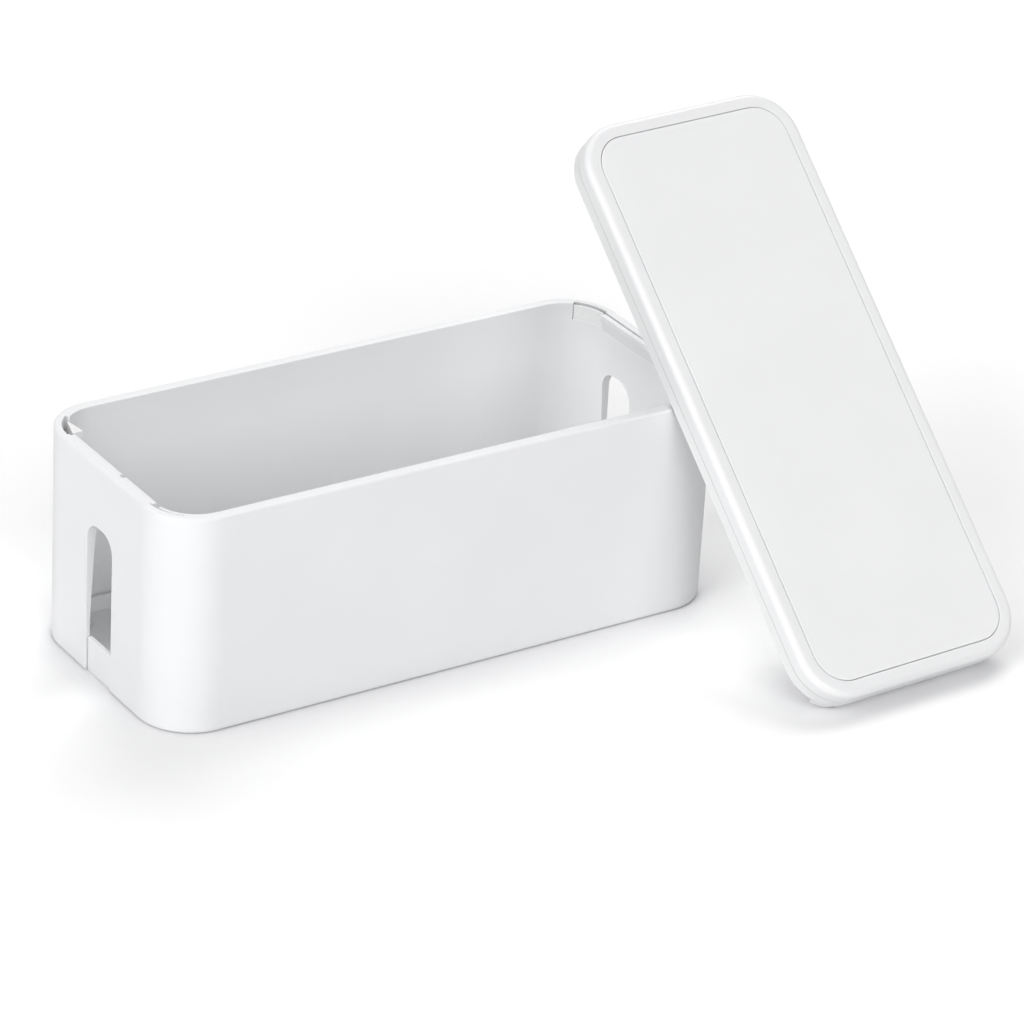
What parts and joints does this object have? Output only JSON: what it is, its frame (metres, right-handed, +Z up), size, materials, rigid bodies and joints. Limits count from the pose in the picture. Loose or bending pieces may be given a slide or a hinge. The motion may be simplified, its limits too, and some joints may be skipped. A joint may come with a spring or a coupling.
{
  "type": "cable management box",
  "caption": "Rounded rectangular tub for a power strip and its cables, with an arched cable slot in each end, a screwed-in base tray and a lift-off lid.",
  "frame": {"origin": "centre of the box's footprint, on the plane of its underside, which it stands on", "axes": "+X along the box to its right end, +Y to its back, +Z up; the side with the leaning lid is the front"},
  "size_m": [0.4161, 0.2678, 0.2255],
  "materials": {
    "shell_plastic": "satin, finely textured",
    "tray_plastic": "satin",
    "trim_plastic": "semi-gloss",
    "lid_plastic": "satin, finely textured",
    "panel_plastic": "matt",
    "pad_rubber": "matt",
    "screw_steel": "zinc plated"
  },
  "bodies": {
    "box": {"body_shell": "shell_plastic", "base_tray": "tray_plastic", "left_end_ledge": "shell_plastic", "right_end_ledge": "shell_plastic", "front_left_clip": "trim_plastic", "front_right_clip": "trim_plastic", "rear_right_clip": "trim_plastic", "rear_left_clip": "trim_plastic", "front_left_pad": "pad_rubber", "front_right_pad": "pad_rubber", "rear_right_pad": "pad_rubber", "rear_left_pad": "pad_rubber", "base_screws": "screw_steel"},
    "lid": {"lid_base": "lid_plastic", "lid_cover": "lid_plastic", "lid_panel": "panel_plastic", "lid_screws": "screw_steel"}
  },
  "joints": [
    {"name": "lid_lift", "type": "slide", "parent": "box", "child": "lid", "axis": [0, 0, 1], "range_m": [0, 0.25]}
  ]
}
